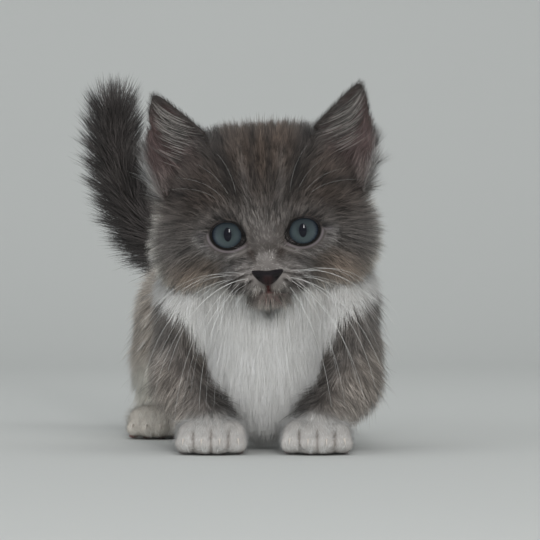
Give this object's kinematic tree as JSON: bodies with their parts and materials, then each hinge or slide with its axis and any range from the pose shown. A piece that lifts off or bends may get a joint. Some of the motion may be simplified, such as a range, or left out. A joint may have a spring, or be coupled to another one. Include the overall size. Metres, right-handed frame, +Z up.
{
  "type": "munchkin cat",
  "caption": "Life-size kitten with short legs, upright ears and a raised bushy tail, standing on all four paws and looking ahead.",
  "frame": {"origin": "on the floor, under the middle of the kitten's bounding box", "axes": "+Z up; the kitten faces -Y; +X to its own left"},
  "size_m": [0.1244, 0.1942, 0.1558],
  "materials": {
    "grey_coat": "soft half-long blue-grey fur",
    "white_coat": "soft half-long white fur",
    "dark_coat": "long dark grey fur",
    "nose_leather": "fine-grained, slightly moist",
    "eye": "clear, wet, glossy"
  },
  "bodies": {
    "root": {"head": "grey_coat", "nose": "nose_leather", "eye_right": "eye", "eye_left": "eye", "ear_right": "grey_coat", "ear_left": "grey_coat", "neck": "white_coat", "torso": "grey_coat", "foreleg_right": "grey_coat", "foreleg_left": "grey_coat", "front_paw_right": "white_coat", "front_paw_left": "white_coat", "hind_leg_right": "grey_coat", "hind_leg_left": "grey_coat", "hind_paw_right": "white_coat", "hind_paw_left": "white_coat", "tail_root": "dark_coat", "tail_middle": "dark_coat", "tail_tip": "dark_coat"}
  },
  "joints": []
}
